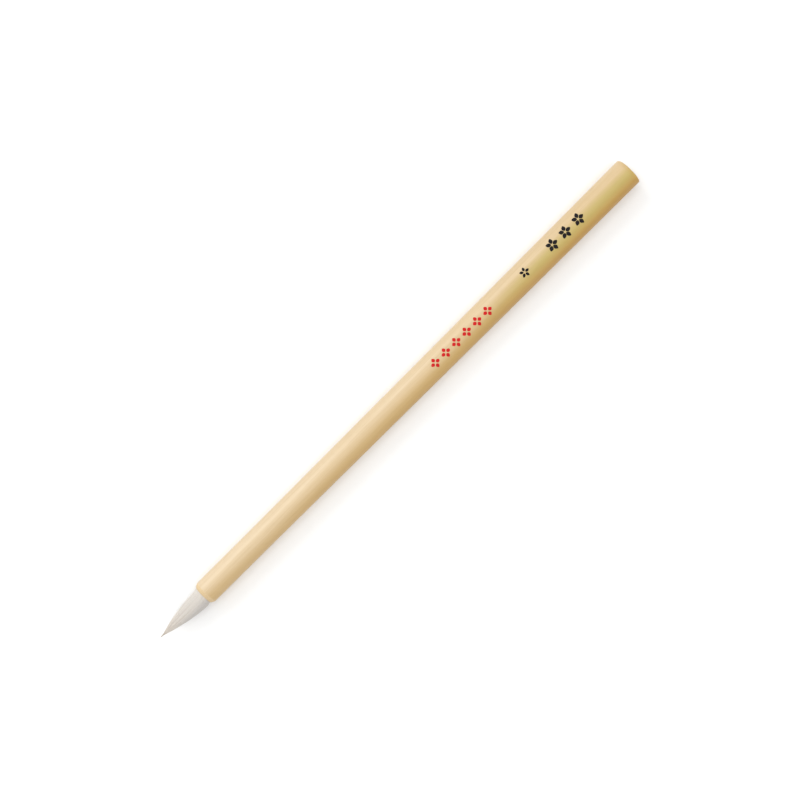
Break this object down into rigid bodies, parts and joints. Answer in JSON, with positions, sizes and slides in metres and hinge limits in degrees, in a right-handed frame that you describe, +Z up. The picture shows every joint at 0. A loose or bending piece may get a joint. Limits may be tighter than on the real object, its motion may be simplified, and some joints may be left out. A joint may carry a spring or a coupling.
{
  "type": "calligraphy brush",
  "caption": "Slim bamboo-handled brush with a pointed white hair tuft glued into the reamed mouth, engraved ink rows and an open hollow head end; the tuft bends sideways.",
  "frame": {"origin": "halfway along the whole brush, tuft included, at the lowest line of the handle, so that the brush lies on Z = 0", "axes": "+X along the brush towards the head end, so the tuft points along -X; +Z up, out of the side that carries the ink rows; +Y sideways"},
  "size_m": [0.2004, 0.0092, 0.0092],
  "materials": {
    "bamboo": "bare culm, scraped and polished, satin",
    "black_ink": "matt black pigment in a shallow engraving",
    "red_ink": "matt red pigment in a shallow engraving",
    "hair": "straight white animal hair, dry and soft",
    "hemp": "waxed hemp thread",
    "glue": "clear amber glue film",
    "seared_hair": "seared and hardened, dark brown"
  },
  "bodies": {
    "handle": {"bamboo_handle": "bamboo", "black_ink_inlay": "black_ink", "red_ink_inlay": "red_ink", "socket_glue": "glue", "binding_thread": "hemp", "root_seal": "seared_hair", "core_hair_root": "hair", "cover_hair_root": "hair"},
    "belly": {"core_hair_belly": "hair", "cover_hair_belly": "hair"},
    "throat": {"core_hair_throat": "hair", "cover_hair_throat": "hair", "point_hair": "hair"}
  },
  "joints": [
    {"name": "waist_bend", "type": "hinge", "parent": "handle", "child": "belly", "pos_m": [-0.08331, 0, 0.0046], "axis": [0, 0, 1], "range_deg": [-30, 30], "stiffness_Nm_per_rad": 0.0006},
    {"name": "throat_bend", "type": "hinge", "parent": "belly", "child": "throat", "pos_m": [-0.0908, 0, 0.0046], "axis": [0, 0, 1], "range_deg": [-30, 30], "stiffness_Nm_per_rad": 0.0006}
  ],
  "couplings": [
    {"joint": "throat_bend", "follows": "waist_bend", "ratio": 1}
  ]
}
